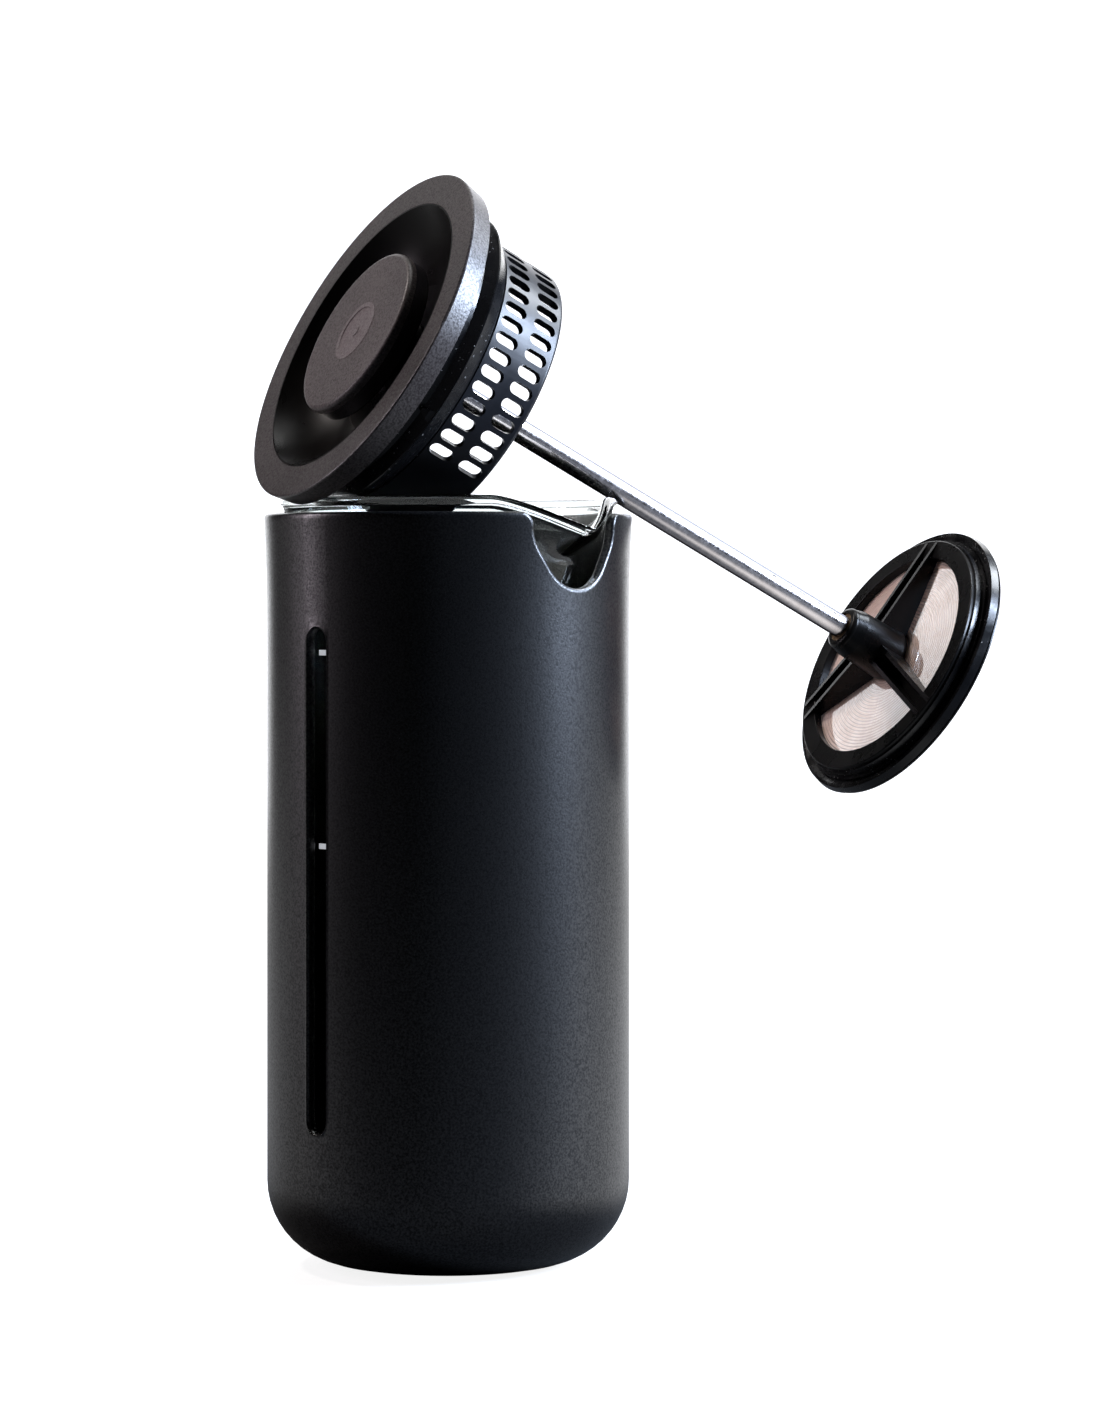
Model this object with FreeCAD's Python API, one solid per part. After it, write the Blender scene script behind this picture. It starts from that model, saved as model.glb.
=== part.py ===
"""French press: a plastic jacket holding a glass beaker, with the lid and plunger lying across its mouth.

The origin is the centre of the flat base, +Z is up and +X points along the pouring spout.
The lid and plunger are modelled upright about their own axis, with depths counted down from the lid's
rim face, and are then laid across the beaker's mouth by one placement.
"""
import FreeCAD, Part
import math
import os

V = FreeCAD.Vector

# ---- jacket --------------------------------------------------------------------------------------
JACKET_R = 44.0            # outer radius over most of the height
JACKET_H = 182.0
JACKET_WALL = 2.6
JACKET_FLARE_H = 34.0      # the wall opens a little over this height below the top
JACKET_FLARE = 0.7
JACKET_BOTTOM_R = 20.0     # radius of the rounded bottom edge
FOOT_R = 20.0
FOOT_T = 2.0
FOOT_DROP = 0.6            # how far the foot stands below the jacket's floor
FOOT_EDGE = 0.48
FLARE_MID = (0.3, 0.6)     # share of a flare's spread and height that its middle point reaches

# ---- pouring notch in the jacket, centred on +X --------------------------------------------------
NOTCH_DEPTH = 18.0
NOTCH_HALF_W = 13.4
NOTCH_BOTTOM_R = 10.5
NOTCH_FLANK_DEG = 55.0     # slope of the flanks that leave the rounded bottom
NOTCH_CORNER_R = 4.0

# ---- level window in the jacket, centred on -Y ---------------------------------------------------
WINDOW_W = 6.0
WINDOW_Z0 = 35.0
WINDOW_Z1 = 154.5
MARK_W = 9.0
MARK_H = 1.3
MARK_T = 0.12
MARK_ZS = {"lower_level_mark": 102.7, "upper_level_mark": 148.7}

# ---- glass beaker --------------------------------------------------------------------------------
GLASS_R = 37.0             # inner radius
GLASS_WALL = 1.9
GLASS_TOP = 186.0
GLASS_BASE_Z = 8.0         # underside of the glass
GLASS_FLOOR_T = 3.0
GLASS_BOTTOM_R = 11.0
RIM_FLARE_H = 9.0
RIM_FLARE = 2.0
RIM_BEAD_R = 1.25
SPOUT_REACH = 49.6         # radius of the spout's tip
SPOUT_TIP_R = 2.6
SPOUT_START_Z = 171.5
SPOUT_TIP_Z = 177.8
SPOUT_OVER = 2.0           # how far the spout is drawn past the rim before the rim is cut
SPOUT_ROOT_OUT = 0.35      # how far the spout's root stands out of the wall
SPOUT_BASE_X = 34.0        # the spout's flanks start here, inside the wall
SPOUT_ROOT_W = 3.2         # half width of the spout at its root
SPOUT_MOUTH_W = 20.0       # and above the rim
SPOUT_FLANK_INSET = 2.7    # the wall's thickness measured across a flank
SPOUT_DIP_X = 37.5         # the rim starts to dip towards the spout here

# ---- beaker's seats inside the jacket ------------------------------------------------------------
CUSHION_R0 = 6.0
CUSHION_R1 = 25.0
CENTRING_Z = 24.0
CENTRING_H = 6.0
SEAT_GAP = 0.35
BEYOND = 90.0              # longer than anything that a cutting tool has to pass

# ---- lid, by depth below its rim face ------------------------------------------------------------
RIM_R = 44.2
RIM_LOW_R = 43.3
RIM_H = 5.5
RIM_ROUND = 0.5
BOWL_R = 36.0              # the rim cover ends and the bowl starts here
BOWL_EDGE = 0.5
BOWL_MID = (30.4, 5.6)
BOWL_FLOOR = (20.0, 11.4)
BOWL_FLAT_R = 16.0
BOWL_DEPTH = 12.0
BOWL_UNDER_MID = (27.6, 12.2)
LID_WALL = 2.2
NECK_R = 34.2
NECK_END = 9.0
SLEEVE_R = 8.0             # the sleeve passes through the bowl at this radius
SLEEVE_HEAD_R = 9.4
SLEEVE_NECK_R = 7.0
SLEEVE_TOP = 6.2
SLEEVE_END = 22.0
SLEEVE_BORE_R = 4.5

# ---- strainer skirt ------------------------------------------------------------------------------
SKIRT_R = 35.66
SKIRT_IN_R = 33.8
SKIRT_NECK_IN_R = 32.4
SKIRT_STEP = 16.5
SKIRT_END = 33.6
SKIRT_TIP = 0.9            # height of the rounded lower edge
SKIRT_CHAMFER = 1.5
SLOT_L = 6.2
SLOT_W = 3.1
SLOT_ROWS = (20.3, 28.8)
SLOT_PITCH_DEG = 7.2
SLOT_FIRST_DEG = -128.0
SLOT_COLUMNS = 20
SLOT_TOOL = (29.8, 8.0)    # radius at which a slot's cutting prism starts, and its length

# ---- lid seal ------------------------------------------------------------------------------------
SEAL_IN_R = 34.26
FIN_R = 39.2
SEAL_OUTLINE = ((SEAL_IN_R, 6.0), (35.7, 6.0), (36.2, 6.5), (36.2, 9.6), (39.05, 11.7), (FIN_R, 12.0),
                (36.5, 15.4), (35.6, 16.2), (SEAL_IN_R, 16.2))
NIB_DEG = -117.0           # a small raised locating nib on the fin
NIB_HALF_W = 1.7
NIB_TIP_HALF_W = 0.5
NIB_OUTLINE = ((36.4, 11.6), (38.9, 11.8), (38.7, 10.4), (37.3, 9.0), (36.4, 9.4))

# ---- guide bush ----------------------------------------------------------------------------------
BUSH_R = 4.42
BUSH_FLANGE_R = 6.2
BUSH_FLANGE_TOP = 4.9
BUSH_FLANGE_T = 1.0
CLIP_R = 6.0
CLIP_T = 1.0
BUSH_CLEAR = 0.06
BUSH_TAIL = 0.6            # how far the bush shows past its clip
CLIP_GAP = 2.0
AXIAL_GAP = 0.3

# ---- knob ----------------------------------------------------------------------------------------
KNOB_TOP = -1.8
KNOB_FACE_R = 20.4
KNOB_R = 21.5
KNOB_BEVEL = 1.2
KNOB_CAP_END = 0.4
KNOB_END = 4.6
KNOB_BODY_R = 21.2
KNOB_UNDERSIDE = ((KNOB_BODY_R, 4.0), (20.6, KNOB_END), (19.0, KNOB_END), (18.2, 2.2), (9.0, 2.2),
                  (8.0, KNOB_END))
BADGE_R = 7.8
BADGE_T = 0.5
BADGE_FACE = ((0, -1.85), (1.4, -1.85), (1.6, -1.65), (6.4, -1.65), (6.6, -1.85), (BADGE_R, -1.85))
INSERT_R = 4.2
INSERT_TOP = 0.9

# ---- plunger rod and filter ----------------------------------------------------------------------
ROD_R = 2.9
ROD_TOP = 1.1
ROD_END = 173.2
ROD_EDGE = 0.4
HUB_TOP = 151.0
HUB_COLLAR_R = 5.6
HUB_R = 6.3
HUB_SHOULDER = 155.0
HUB_CROWN = ((4.4, HUB_TOP), (5.3, 151.4), (HUB_COLLAR_R, 152.4))
HUB_HEEL = ((6.7, 166.0), (6.5, 167.3), (5.7, 168.0))
RING_TOP = 165.9
RING_IN_R = 27.6
RING_R = 32.6
RING_T = 2.1
RING_EDGE = 0.3
ARM_ANGLES = (3.0, 123.0, 243.0)
ARM_W = 5.5
ARM_WALL = 1.1
ARM_TOP = 160.2
ARM_FLOOR_T = 1.0
ARM_IN_R = 4.5
ARM_TOP_R = 6.0
ARM_OUT_R = 32.0
HUB_RING_R = 3.9
HUB_RING_T = 1.4
HUB_RING_SUNK = 0.4
MESH_T = 0.3
MESH_R = 32.2
PLATE_END = 170.8
FILTER_SEAL_OUTLINE = ((RING_R, 166.9), (33.2, 167.0), (33.3, 168.2), (32.95, 168.5), (32.95, 168.9),
                       (34.2, 169.0), (34.2, 169.5), (33.9, 169.8), (35.6, 169.2), (36.5, 169.2),
                       (37.0, 171.1), (36.75, 171.3), (35.4, 170.6), (33.8, PLATE_END), (RING_R, PLATE_END))
FLANGE_END = 172.4
FLANGE_OUTLINE = ((RING_R, PLATE_END), (34.5, 171.6), (36.5, 171.8), (36.5, 172.2), (36.2, FLANGE_END),
                  (28.6, FLANGE_END), (RING_IN_R, 171.8))
LOWER_ARM_W = 4.0
LOWER_ARM_T = 1.6
LOWER_PAD_T = 2.0
LOWER_PAD_R = 8.0
NUT_R = 5.2
NUT_END = 176.2
NUT_DOME_R = 5.3
NUT_DOME_SINK = 4.47       # depth of the dome's centre behind the nut's end
NUT_FLAT_H = 1.6
WASHER_R = 7.0
WASHER_T = 0.8

# ---- how the lid and plunger lie across the mouth ------------------------------------------------
LID_AT = V(-1.53, -27.8, 224.75)
LID_HEADING_DEG = 71.24    # direction in which the rod points, from +X towards +Y
LID_DIP_DEG = 27.82        # how far the rod points below the horizontal


def arc(p0, p1, p2):
    return Part.Arc(p0, p1, p2).toShape()


def line(p0, p1):
    return Part.makeLine(p0, p1)


def at(radius, z):
    """A point of a profile, in the XZ plane."""
    return V(radius, 0, z)


def down(radius, depth):
    """A point of a profile by its depth below the lid's rim face."""
    return V(radius, 0, -depth)


def polyline(points):
    return [line(a, b) for a, b in zip(points, points[1:]) if (b - a).Length > 1e-6]


def turned(edges):
    """The solid that a closed outline of edges sweeps about the Z axis."""
    face = Part.Face(Part.Wire(edges))
    solid = face.revolve(V(0, 0, 0), V(0, 0, 1), 360)
    if solid.Volume < 0:
        solid.reverse()
    return solid


def turned_outline(points):
    return turned(polyline(points + [points[0]]))


def turned_depths(outline):
    """The solid of revolution of a straight-sided outline of (radius, depth) pairs."""
    return turned_outline([down(radius, depth) for radius, depth in outline])


def three_point(outline):
    """The arc through three (radius, depth) pairs."""
    return arc(*[down(radius, depth) for radius, depth in outline])


def tube(r_in, r_out, z0, z1):
    """A plain ring between two heights."""
    outer = Part.makeCylinder(r_out, z1 - z0, V(0, 0, z0))
    if r_in <= 0:
        return outer
    return outer.cut(Part.makeCylinder(r_in, z1 - z0, V(0, 0, z0)))


def around(shape, degrees):
    copy = shape.copy()
    copy.rotate(V(0, 0, 0), V(0, 0, 1), degrees)
    return copy


def one_solid(shape):
    """The single solid of a boolean result, with split faces joined again."""
    solid = shape.removeSplitter()
    if len(solid.Solids) != 1:
        raise ValueError("expected one solid, found %d" % len(solid.Solids))
    return solid.Solids[0]


def rounded(shape, radius, wanted):
    """Fillets the edges that the test picks."""
    edges = [edge for edge in shape.Edges if wanted(edge)]
    return shape.makeFillet(radius, edges)


# ---- jacket --------------------------------------------------------------------------------------

def quarter(centre, radius, start_deg, end_deg):
    """An arc of a profile about a centre, between two angles in the XZ plane."""
    def point(degrees):
        a = math.radians(degrees)
        return centre + V(radius * math.cos(a), 0, radius * math.sin(a))
    return arc(point(start_deg), point((start_deg + end_deg) / 2), point(end_deg))


def flare(radius, z, spread, top):
    """The gentle outward curve of a wall, from (radius, z) to its top point."""
    out, up = FLARE_MID
    return arc(at(radius, z), at(radius + spread * out, z + (top.z - z) * up), top)


def jacket_shell():
    floor_r = JACKET_R - JACKET_BOTTOM_R
    inner_r = JACKET_R - JACKET_WALL
    z0 = FOOT_DROP
    bend_z = z0 + JACKET_BOTTOM_R
    flare_z = JACKET_H - JACKET_FLARE_H
    top_r = JACKET_R + JACKET_FLARE
    top_in_r = top_r - JACKET_WALL
    crown = JACKET_WALL / 2
    bend = at(floor_r, bend_z)
    outer_top = at(top_r, JACKET_H - crown)
    inner_top = at(top_in_r, JACKET_H - crown)
    edges = [
        line(at(0, z0), at(floor_r, z0)),
        quarter(bend, JACKET_BOTTOM_R, -90, 0),
        line(at(JACKET_R, bend_z), at(JACKET_R, flare_z)),
        flare(JACKET_R, flare_z, JACKET_FLARE, outer_top),
        arc(outer_top, at(top_r - crown, JACKET_H), inner_top),
        line(inner_top, at(inner_r, flare_z)),
        line(at(inner_r, flare_z), at(inner_r, bend_z)),
        quarter(bend, JACKET_BOTTOM_R - JACKET_WALL, 0, -90),
        line(at(floor_r, z0 + JACKET_WALL), at(0, z0 + JACKET_WALL)),
        line(at(0, z0 + JACKET_WALL), at(0, z0)),
    ]
    return turned(edges)


def notch_half():
    """One side of the notch's outline, from the middle of its bottom to above the jacket's top."""
    bottom_z = JACKET_H - NOTCH_DEPTH
    flank = math.radians(NOTCH_FLANK_DEG)
    corner_z = JACKET_H - NOTCH_CORNER_R
    corner_mid = NOTCH_CORNER_R * (1 - math.sqrt(0.5))

    def p(y, z):
        return V(0, y, z)

    def bottom(angle):
        return p(NOTCH_BOTTOM_R * math.sin(angle), bottom_z + NOTCH_BOTTOM_R * (1 - math.cos(angle)))

    foot = bottom(flank)
    knee = p(NOTCH_HALF_W, foot.z + (NOTCH_HALF_W - foot.y) * math.tan(flank))
    corner = p(NOTCH_HALF_W, corner_z)
    rim = p(NOTCH_HALF_W + NOTCH_CORNER_R, JACKET_H)
    return [
        arc(bottom(0), bottom(flank / 2), foot),
        line(foot, knee),
        line(knee, corner),
        arc(corner, p(NOTCH_HALF_W + corner_mid, JACKET_H - corner_mid), rim),
        line(rim, rim + V(0, 0, NOTCH_CORNER_R)),
    ]


def notch_tool():
    """The prism that cuts the pouring notch, with its rounded bottom and flared corners."""
    half = notch_half()
    other = [edge.mirror(V(0, 0, 0), V(0, 1, 0)) for edge in half]
    top = V(0, NOTCH_HALF_W + NOTCH_CORNER_R, JACKET_H + NOTCH_CORNER_R)
    across = line(top, V(0, -top.y, top.z))
    face = Part.Face(Part.Wire(half + [across] + other[::-1]))
    return face.extrude(V(BEYOND, 0, 0))


def window_tool():
    """An obround prism through the jacket's wall, towards -Y."""
    r = WINDOW_W / 2
    low, high = WINDOW_Z0 + r, WINDOW_Z1 - r
    y = -BEYOND
    edges = [
        line(V(r, y, low), V(r, y, high)),
        arc(V(r, y, high), V(0, y, high + r), V(-r, y, high)),
        line(V(-r, y, high), V(-r, y, low)),
        arc(V(-r, y, low), V(0, y, low - r), V(r, y, low)),
    ]
    return Part.Face(Part.Wire(edges)).extrude(V(0, BEYOND, 0))


def jacket():
    shell = jacket_shell().cut(notch_tool()).cut(window_tool())
    recess = Part.makeCylinder(FOOT_R + SEAT_GAP, FOOT_T - FOOT_DROP, V(0, 0, FOOT_DROP))
    return one_solid(shell.cut(recess))


def base_foot():
    foot = Part.makeCylinder(FOOT_R, FOOT_T)
    return rounded(foot, FOOT_EDGE, lambda edge: edge.BoundBox.ZMax < 1e-6)


def beaker_cushion():
    """The soft ring on the jacket's floor that the glass stands on."""
    return tube(CUSHION_R0, CUSHION_R1, FOOT_DROP + JACKET_WALL, GLASS_BASE_Z)


def centring_ring():
    """The soft band that holds the beaker central low in the jacket."""
    glass_out = GLASS_R + GLASS_WALL
    return tube(glass_out + SEAT_GAP, JACKET_R - JACKET_WALL, CENTRING_Z, CENTRING_Z + CENTRING_H)


# ---- beaker --------------------------------------------------------------------------------------

def beaker_profile(radius, base_z, bottom_r, top_z):
    """The solid of revolution that one side of the glass bounds, flared towards the rim."""
    flare_z = GLASS_TOP - RIM_FLARE_H
    bend = at(radius - bottom_r, base_z + bottom_r)
    rim = at(radius + RIM_FLARE, top_z)
    return turned([
        line(at(0, base_z), at(radius - bottom_r, base_z)),
        quarter(bend, bottom_r, -90, 0),
        line(at(radius, base_z + bottom_r), at(radius, flare_z)),
        flare(radius, flare_z, RIM_FLARE, rim),
        line(rim, at(0, top_z)),
        line(at(0, top_z), at(0, base_z)),
    ])


def spout_section(half_w, reach, tip_r, z):
    """A closed wire: two straight flanks that run out along +X to a small round tip."""
    centre = V(reach - tip_r, 0, z)
    base = V(SPOUT_BASE_X, half_w, z)
    away = base - centre
    turn = math.atan2(away.y, away.x) - math.acos(tip_r / away.Length)
    touch = centre + V(tip_r * math.cos(turn), tip_r * math.sin(turn), 0)
    base_m = V(base.x, -base.y, z)
    touch_m = V(touch.x, -touch.y, z)
    return Part.Wire([
        arc(touch_m, V(reach, 0, z), touch),
        line(touch, base),
        line(base, base_m),
        line(base_m, touch_m),
    ])


def spout_solid(radius, inset, flank_inset):
    """The body that the spout adds to the wall, growing outwards from its root to above the rim."""
    root = radius + SPOUT_ROOT_OUT
    tip_r = SPOUT_TIP_R - inset
    span = GLASS_TOP + SPOUT_OVER - SPOUT_START_Z
    grow = (SPOUT_REACH - inset - root) / (SPOUT_TIP_Z - SPOUT_START_Z)
    low = spout_section(SPOUT_ROOT_W - flank_inset, root, tip_r, SPOUT_START_Z)
    high = spout_section(SPOUT_MOUTH_W - flank_inset, root + grow * span, tip_r, SPOUT_START_Z + span)
    return Part.makeLoft([low, high], True, True)


def dip_tool():
    """The wedge that lowers the rim towards the spout's tip."""
    slope = (GLASS_TOP - SPOUT_TIP_Z) / (SPOUT_REACH - SPOUT_DIP_X)
    points = [
        V(SPOUT_DIP_X, -BEYOND, GLASS_TOP),
        V(BEYOND, -BEYOND, GLASS_TOP - slope * (BEYOND - SPOUT_DIP_X)),
        V(BEYOND, -BEYOND, GLASS_TOP + BEYOND),
        V(SPOUT_DIP_X, -BEYOND, GLASS_TOP + BEYOND),
        V(SPOUT_DIP_X, -BEYOND, GLASS_TOP),
    ]
    return Part.Face(Part.makePolygon(points)).extrude(V(0, 2 * BEYOND, 0))


def glass_beaker():
    outer_r = GLASS_R + GLASS_WALL
    top_z = GLASS_TOP - RIM_BEAD_R
    outer = beaker_profile(outer_r, GLASS_BASE_Z, GLASS_BOTTOM_R, top_z)
    inner = beaker_profile(GLASS_R, GLASS_BASE_Z + GLASS_FLOOR_T, GLASS_BOTTOM_R - GLASS_WALL, top_z)
    above = Part.makeCylinder(BEYOND, BEYOND, V(0, 0, top_z))
    outer = outer.fuse(spout_solid(outer_r, 0, 0)).cut(above)
    mouth = spout_solid(GLASS_R, GLASS_WALL, SPOUT_FLANK_INSET)
    inner = inner.fuse(mouth)
    wall = outer.cut(inner)
    bead_r = GLASS_R + GLASS_WALL / 2 + RIM_FLARE
    bead = Part.makeTorus(bead_r, RIM_BEAD_R, V(0, 0, top_z))
    body = wall.fuse(bead.cut(mouth)).cut(dip_tool())
    return one_solid(body)


def level_mark(z):
    """A short printed bar on the glass, behind the window."""
    outer_r = GLASS_R + GLASS_WALL
    ring = tube(outer_r, outer_r + MARK_T, z - MARK_H / 2, z + MARK_H / 2)
    cutter = Part.makeBox(MARK_W, JACKET_R, JACKET_H, V(-MARK_W / 2, -JACKET_R, 0))
    return one_solid(ring.common(cutter))


# ---- lid -----------------------------------------------------------------------------------------

def lid_cover():
    """The textured ring that caps the lid's rim."""
    ring = turned_outline([down(BOWL_R, 0), down(RIM_R, 0), down(RIM_LOW_R, RIM_H), down(BOWL_R, RIM_H)])
    return rounded(ring, RIM_ROUND, lambda edge: edge.BoundBox.ZMin > -1e-6 and edge.BoundBox.XMax > BOWL_R + 1)


def lid_bowl():
    """The smooth inner moulding: the finger bowl, with the neck that carries the skirt."""
    floor_r, floor_d = BOWL_FLOOR
    edge_r = BOWL_R - BOWL_EDGE
    under_floor = down(floor_r, BOWL_DEPTH + LID_WALL)
    edges = polyline([down(edge_r, 0), down(BOWL_R, 0), down(BOWL_R, RIM_H), down(NECK_R, RIM_H),
                      down(NECK_R, NECK_END), down(SKIRT_NECK_IN_R, NECK_END)])
    edges.append(arc(down(SKIRT_NECK_IN_R, NECK_END), down(*BOWL_UNDER_MID), under_floor))
    edges += polyline([under_floor, down(SLEEVE_R, BOWL_DEPTH + LID_WALL), down(SLEEVE_R, BOWL_DEPTH),
                       down(BOWL_FLAT_R, BOWL_DEPTH), down(floor_r, floor_d)])
    edges.append(arc(down(floor_r, floor_d), down(*BOWL_MID), down(edge_r, 0)))
    return turned(edges)


def guide_sleeve():
    """The headed sleeve in the middle of the bowl that holds the bush."""
    head_end = BOWL_DEPTH - LID_WALL / 2
    return turned_outline([
        down(SLEEVE_BORE_R, SLEEVE_TOP), down(SLEEVE_NECK_R, SLEEVE_TOP), down(SLEEVE_HEAD_R, head_end),
        down(SLEEVE_HEAD_R, BOWL_DEPTH), down(SLEEVE_R, BOWL_DEPTH), down(SLEEVE_R, BOWL_DEPTH + LID_WALL),
        down(SLEEVE_NECK_R, SLEEVE_END), down(SLEEVE_BORE_R, SLEEVE_END),
    ])


def slot_tool(depth):
    """An obround prism along +X that cuts one strainer slot."""
    r = SLOT_W / 2
    high, low = -(depth - SLOT_L / 2 + r), -(depth + SLOT_L / 2 - r)
    x, length = SLOT_TOOL
    edges = [
        line(V(x, r, low), V(x, r, high)),
        arc(V(x, r, high), V(x, 0, high + r), V(x, -r, high)),
        line(V(x, -r, high), V(x, -r, low)),
        arc(V(x, -r, low), V(x, 0, low - r), V(x, r, low)),
    ]
    return Part.Face(Part.Wire(edges)).extrude(V(length, 0, 0))


def strainer_skirt():
    """The slotted cylinder below the lid, with the neck that clips round the bowl."""
    tip = SKIRT_END - SKIRT_TIP
    mid_r = (SKIRT_R + SKIRT_IN_R) / 2
    edges = polyline([down(NECK_R, NECK_END), down(NECK_R, SKIRT_STEP), down(SKIRT_R, SKIRT_STEP),
                      down(SKIRT_R, tip)])
    edges.append(three_point([(SKIRT_R, tip), (mid_r, SKIRT_END), (SKIRT_IN_R, tip)]))
    edges += polyline([down(SKIRT_IN_R, tip), down(SKIRT_IN_R, SKIRT_STEP + SKIRT_CHAMFER),
                       down(SKIRT_NECK_IN_R, SKIRT_STEP), down(SKIRT_NECK_IN_R, NECK_END),
                       down(NECK_R, NECK_END)])
    skirt = turned(edges)
    tools = []
    for depth in SLOT_ROWS:
        slot = slot_tool(depth)
        tools += [around(slot, SLOT_FIRST_DEG + i * SLOT_PITCH_DEG) for i in range(SLOT_COLUMNS)]
    return one_solid(skirt.cut(Part.makeCompound(tools)))


def lid_seal():
    """The silicone ring in the lid's groove: a flat band with one pointed fin and a locating nib."""
    band = turned_depths(SEAL_OUTLINE)
    return one_solid(band.fuse(around(seal_nib(), NIB_DEG)))


def seal_nib():
    """A small block on the fin's upper side, along +X, narrowing upwards."""
    side = [V(r, -NIB_HALF_W, -depth) for r, depth in NIB_OUTLINE]
    block = Part.Face(Part.makePolygon(side + [side[0]])).extrude(V(0, 2 * NIB_HALF_W, 0))
    x0 = NIB_OUTLINE[0][0]
    depths = [depth for _, depth in NIB_OUTLINE]
    low, high = -max(depths), -min(depths)
    front = [V(x0, y, z) for y, z in ((-NIB_HALF_W, low), (NIB_HALF_W, low), (NIB_TIP_HALF_W, high),
                                      (-NIB_TIP_HALF_W, high), (-NIB_HALF_W, low))]
    wedge = Part.Face(Part.makePolygon(front)).extrude(V(FIN_R - x0, 0, 0))
    return block.common(wedge)


# ---- guide bush ----------------------------------------------------------------------------------

def guide_bush():
    bore = ROD_R + BUSH_CLEAR
    flange_end = BUSH_FLANGE_TOP + BUSH_FLANGE_T
    end = SLEEVE_END + AXIAL_GAP + CLIP_T + BUSH_TAIL
    return turned_outline([
        down(bore, BUSH_FLANGE_TOP), down(BUSH_FLANGE_R, BUSH_FLANGE_TOP), down(BUSH_FLANGE_R, flange_end),
        down(BUSH_R, flange_end), down(BUSH_R, end), down(bore, end),
    ])


def bush_clip():
    """The spring clip that keeps the bush in its sleeve."""
    top = -(SLEEVE_END + AXIAL_GAP)
    ring = tube(BUSH_R, CLIP_R, top - CLIP_T, top)
    gap = Part.makeBox(CLIP_R, CLIP_GAP, CLIP_T, V(0, -CLIP_GAP / 2, top - CLIP_T))
    return one_solid(ring.cut(gap))


# ---- plunger: knob -------------------------------------------------------------------------------

def knob_cap():
    """The textured disc on top of the knob, bevelled at its edge and recessed for the badge."""
    bevel_end = KNOB_TOP + KNOB_BEVEL
    bevel_mid = KNOB_BEVEL * (1 - math.sqrt(0.5))
    edges = polyline([down(0, KNOB_TOP + BADGE_T), down(BADGE_R, KNOB_TOP + BADGE_T), down(BADGE_R, KNOB_TOP),
                      down(KNOB_FACE_R, KNOB_TOP)])
    edges.append(three_point([(KNOB_FACE_R, KNOB_TOP), (KNOB_R - bevel_mid, KNOB_TOP + bevel_mid),
                              (KNOB_R, bevel_end)]))
    edges += polyline([down(KNOB_R, bevel_end), down(KNOB_R, KNOB_CAP_END), down(0, KNOB_CAP_END),
                       down(0, KNOB_TOP + BADGE_T)])
    return turned(edges)


def knob_badge():
    """A plain inlaid disc with a raised border and a small raised dot."""
    floor = KNOB_TOP + BADGE_T
    return turned_depths(BADGE_FACE + ((BADGE_R, floor), (0, floor)))


def knob_body():
    """The black underside of the knob, hollowed between its edge and its centre."""
    top = ((0, KNOB_CAP_END), (KNOB_BODY_R, KNOB_CAP_END))
    socket = ((INSERT_R, KNOB_END), (INSERT_R, INSERT_TOP), (0, INSERT_TOP))
    return turned_depths(top + KNOB_UNDERSIDE + socket)


def knob_insert():
    """The brass thread that the rod screws into."""
    return turned_outline([
        down(0, INSERT_TOP), down(INSERT_R, INSERT_TOP), down(INSERT_R, KNOB_END), down(ROD_R, KNOB_END),
        down(ROD_R, ROD_TOP), down(0, ROD_TOP),
    ])


# ---- plunger: rod and filter ---------------------------------------------------------------------

def plunger_rod():
    rod = Part.makeCylinder(ROD_R, ROD_END - ROD_TOP, V(0, 0, -ROD_END))
    return rounded(rod, ROD_EDGE, lambda edge: edge.BoundBox.ZMax < -ROD_END + 1e-6)


def arm(angle):
    """One channel-section arm of the spider, falling from the hub to the ring."""
    floor = RING_TOP + RING_T
    outline = [V(radius, -ARM_W / 2, -depth) for radius, depth in (
        (ARM_IN_R, floor), (ARM_OUT_R, floor), (ARM_OUT_R, RING_TOP), (ARM_TOP_R, ARM_TOP), (ARM_IN_R, ARM_TOP),
        (ARM_IN_R, floor))]
    body = Part.Face(Part.makePolygon(outline)).extrude(V(0, ARM_W, 0))
    start = V(HUB_R, ARM_WALL - ARM_W / 2, ARM_FLOOR_T - floor)
    channel = Part.makeBox(ARM_OUT_R - HUB_R, ARM_W - 2 * ARM_WALL, BEYOND, start)
    return around(body.cut(channel), angle)


def spider_hub():
    """The hub's turned body: a rounded collar that widens to the arms and tucks in below them."""
    crown_in, heel_in = HUB_CROWN[0][0], HUB_HEEL[-1][0]
    floor = HUB_HEEL[-1][1]
    edges = [line(down(ROD_R, HUB_TOP), down(crown_in, HUB_TOP)), three_point(HUB_CROWN)]
    edges += polyline([down(*HUB_CROWN[-1]), down(HUB_R, HUB_SHOULDER), down(*HUB_HEEL[0])])
    edges.append(three_point(HUB_HEEL))
    edges += polyline([down(heel_in, floor), down(ROD_R, floor), down(ROD_R, HUB_TOP)])
    return turned(edges)


def filter_spider():
    """Hub, three channel arms and outer ring of the plunger's filter, in one moulding."""
    floor = RING_TOP + RING_T
    ring = tube(RING_IN_R, RING_R, -floor, -RING_TOP)
    ring = rounded(ring, RING_EDGE, lambda edge: edge.BoundBox.ZMin > -RING_TOP - 1e-6)
    body = ring.fuse([spider_hub()] + [arm(angle) for angle in ARM_ANGLES])
    pocket = tube(0, HUB_RING_R, -(HUB_TOP + HUB_RING_T), -HUB_TOP)
    bore = Part.makeCylinder(ROD_R, floor - HUB_TOP, V(0, 0, -floor))
    return one_solid(body.cut(bore).cut(pocket))


def hub_ring():
    """The brass ring set into the hub's mouth, around the rod."""
    return tube(ROD_R, HUB_RING_R, -(HUB_TOP + HUB_RING_T), -(HUB_TOP + HUB_RING_SUNK))


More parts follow.
